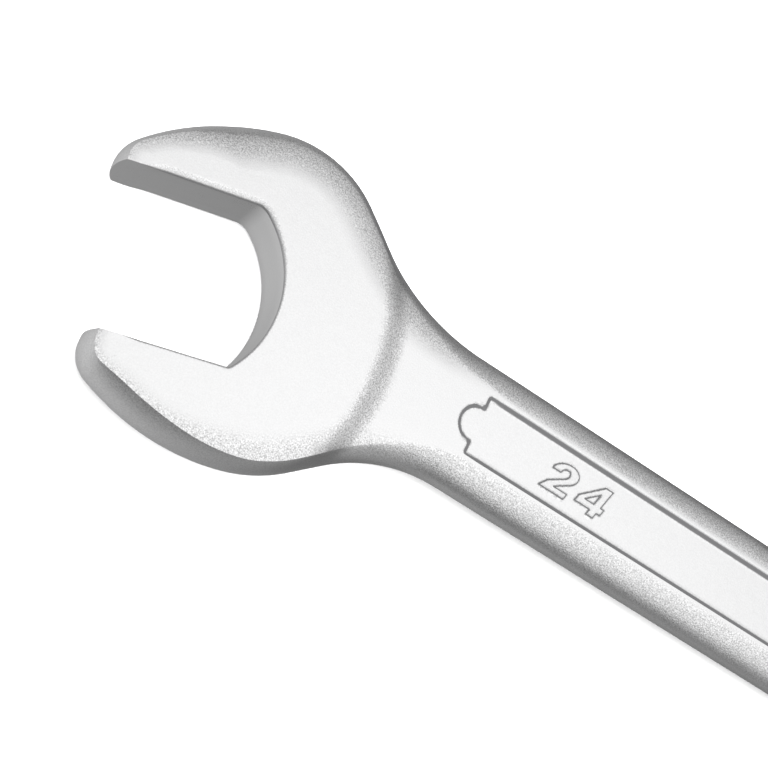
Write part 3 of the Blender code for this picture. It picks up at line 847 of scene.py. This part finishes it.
class Paint:
    """The node tree of a material or of the world, and the one way that nodes are added to it."""

    def __init__(self, tree):
        self.tree = tree
        tree.nodes.clear()

    def node(self, kind, settings=None, inputs=None, output=0):
        made = self.tree.nodes.new(kind)
        for name, value in (settings or {}).items():
            setattr(made, name, value)
        for key, value in (inputs or {}).items():
            if isinstance(value, Wire):
                self.tree.links.new(value.socket, made.inputs[key])
            else:
                made.inputs[key].default_value = value
        return Wire(self, made.outputs[output]) if made.outputs else None

    def stored(self, name):
        """A value that the skin's points hold."""
        return self.node("ShaderNodeAttribute", {"attribute_name": name}, output="Fac")

    def facing(self, toward, direction):
        """How far a direction of view points along another one, as their dot product."""
        inputs = {0: toward, 1: direction}
        settings = {"operation": "DOT_PRODUCT"}
        return self.node("ShaderNodeVectorMath", settings, inputs, output="Value")

    def noise(self, place, scale, detail, roughness=0.5):
        """Cloudy noise from 0 to 1, scale being its count of cells to the metre."""
        inputs = {"Vector": place, "Scale": scale, "Detail": detail, "Roughness": roughness}
        return self.node("ShaderNodeTexNoise", {}, inputs)

    def between(self, value, low, high, first=0.0, last=1.0, way="SMOOTHSTEP"):
        """Goes from first to last as a value goes from low to high, and stays there."""
        inputs = {"Value": value, "From Min": low, "From Max": high, "To Min": first, "To Max": last}
        return self.node("ShaderNodeMapRange", {"interpolation_type": way}, inputs)

    def colours(self, share, first, last):
        """Mixes two colours, each of them fixed or a wire."""
        first, last = (c if isinstance(c, Wire) else (*c, 1.0) for c in (first, last))
        return self.node("ShaderNodeMix", {"data_type": "RGBA"}, {0: share, 6: first, 7: last}, output=2)


def satin_chrome():
    """Blasted and plated skin: even grey metal with a fine grain and painted glints, flecks in its
    colour that show most on slopes; painted shade, a dull dark grey, in the creases; and smoother where
    the mouth and the bore were milled."""
    made = bpy.data.materials.new("satin_chrome")
    made.use_nodes = True
    paint = Paint(made.node_tree)
    place = paint.node("ShaderNodeTexCoord", output="Object")
    milled = paint.stored("milled")
    crease = paint.stored("crease")
    slope = paint.stored("slope")
    grain = paint.noise(place, GRAIN_SCALE, 3.0, 0.6)
    cloud = paint.noise(place, CLOUD_SCALE, 3.0)
    swell = paint.noise(place, SWELL_SCALE, 2.0)
    glint_speck = paint.noise(place, GLINT_SPECK_SCALE, 1.0)
    rough = ROUGHNESS + ROUGH_CLOUD * cloud + ROUGH_GRAIN * grain
    rough = rough + ROUGH_CREASE * crease - SMOOTH_MILLED * milled
    # Painted glints: lighter and darker flecks in the colour, strongest on slopes and few where milled
    glint_fleck = GLINT_FLECK_LEVEL + (1.0 - GLINT_FLECK_LEVEL) * slope
    glint_fleck = glint_fleck * (1.0 - GLINT_FLECK_MILLED_OFF * milled) * (glint_speck - 0.5)
    share = 0.5 + GLINT_FLECK * glint_fleck + CLOUD_SHARE * (cloud - 0.5)
    colour = paint.colours(share, DARK_METAL, BRIGHT_METAL)
    # Painted shade: the creases of the panel and the digits are mixed over to dark grey
    colour = paint.colours(crease, colour, CREASE_SHADE_GREY)
    height = grain * (GRAIN_LEVEL + (1.0 - GRAIN_LEVEL) * slope)
    height = height * (1.0 - GRAIN_MILLED_OFF * milled) + SWELL_SHARE * swell
    bump = paint.node("ShaderNodeBump", {}, {"Height": height, "Distance": BUMP_HEIGHT})
    metal = 1.0 - CREASE_DULLNESS * crease
    skin = {"Base Color": colour, "Metallic": metal, "Roughness": rough, "Normal": bump}
    surface = paint.node("ShaderNodeBsdfPrincipled", {}, skin)
    paint.node("ShaderNodeOutputMaterial", {}, {"Surface": surface})
    return made


def floor():
    """Plain pale floor under the wrench. It does not show in the metal."""
    mesh = bpy.data.meshes.new("floor")
    z = CAD_BOX[0][2] - FLOOR_GAP
    corners = [(x * FLOOR_HALF, y * FLOOR_HALF, z) for x, y in ((-1, -1), (1, -1), (1, 1), (-1, 1))]
    mesh.from_pydata(corners, [], [(0, 1, 2, 3)])
    made = bpy.data.objects.new("floor", mesh)
    bpy.context.scene.collection.objects.link(made)
    paper = bpy.data.materials.new("pale_paper")
    paper.use_nodes = True
    paint = Paint(paper.node_tree)
    grey = (FLOOR_GREY, FLOOR_GREY, FLOOR_GREY, 1.0)
    surface = paint.node("ShaderNodeBsdfDiffuse", {}, {"Color": grey})
    paint.node("ShaderNodeOutputMaterial", {}, {"Surface": surface})
    mesh.materials.append(paper)
    made.visible_glossy = False


def cosines(angles):
    """The cosine of each angle, given in degrees."""
    return [math.cos(math.radians(angle)) for angle in angles]


def studio():
    """Soft studio light: a wide dome with a bright patch overhead, dimmer towards the near side and
    one end, over an even room and a ground glow. Behind the wrench the camera sees plain white."""
    world = bpy.data.worlds.new("studio")
    bpy.context.scene.world = world
    world.use_nodes = True
    paint = Paint(world.node_tree)
    toward = paint.node("ShaderNodeTexCoord", output="Generated")
    turn = paint.facing(toward, Vector(LIGHT_TOWARD).normalized())
    dome = paint.between(turn, *cosines(DOME_ANGLES), 0.0, DOME_STRENGTH, "LINEAR")
    patch = paint.between(turn, *cosines(PATCH_ANGLES), 0.0, PATCH_STRENGTH)
    near = paint.facing(toward, NEAR_TOWARD)
    near_share = paint.between(near, *NEAR_DIMMING, 1.0, NEAR_SHARE)
    near_share = near_share - paint.between(near, *NEAR_END, 0.0, NEAR_SHARE)
    side = paint.facing(toward, SIDE_TOWARD)
    side_share = paint.between(side, *SIDE_DIMMING, 1.0, SIDE_SHARE)
    height = paint.node("ShaderNodeSeparateXYZ", {}, {0: toward}, output="Z")
    ground = paint.between(height, *GROUND_EDGE, 1.0, 0.0) * (GROUND_STRENGTH + side)
    seen = paint.node("ShaderNodeLightPath", output="Is Camera Ray")
    glow = ROOM_STRENGTH + near_share * side_share * (dome + patch) + ground
    strength = glow * (1.0 - seen) + seen
    inputs = {"Color": WHITE, "Strength": strength}
    shine = paint.node("ShaderNodeBackground", {}, inputs)
    paint.node("ShaderNodeOutputWorld", {}, {"Surface": shine})


def floor_lamp():
    """Broad lamp over the floor that lights it evenly and doesn't show in the metal."""
    light = bpy.data.lights.new("floor_lamp", "AREA")
    light.shape = "DISK"
    light.size = LAMP_SIZE
    light.energy = LAMP_POWER
    made = bpy.data.objects.new("floor_lamp", light)
    made.location = (0.0, 0.0, LAMP_HEIGHT)
    made.visible_glossy = False
    bpy.context.scene.collection.objects.link(made)


def camera(moved):
    """Camera over the open end, turned so that the shank runs down to the right."""
    lens = bpy.data.cameras.new("camera")
    lens.lens = FOCAL_LENGTH
    lens.sensor_width = SENSOR_WIDTH
    lens.clip_start = CLIP_START
    made = bpy.data.objects.new("camera", lens)
    ahead = Vector(LOOK).normalized()
    level = ahead.cross(Vector((0.0, 0.0, 1.0))).normalized()
    upright = level.cross(ahead)
    right = math.cos(ROLL) * level + math.sin(ROLL) * upright
    up = right.cross(ahead)
    turned = Matrix((right, up, -ahead)).transposed()
    stand = (Vector(AIM) - DISTANCE * ahead) * MM + moved
    made.matrix_world = Matrix.Translation(stand) @ turned.to_4x4()
    bpy.context.scene.collection.objects.link(made)
    bpy.context.scene.camera = made


def main():
    bpy.context.scene.view_settings.view_transform = "Standard"
    forging, moved = wrench()
    forging.data.materials.append(satin_chrome())
    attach(forging, "root")
    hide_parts("wrench")
    floor()
    studio()
    floor_lamp()
    camera(moved)


main()
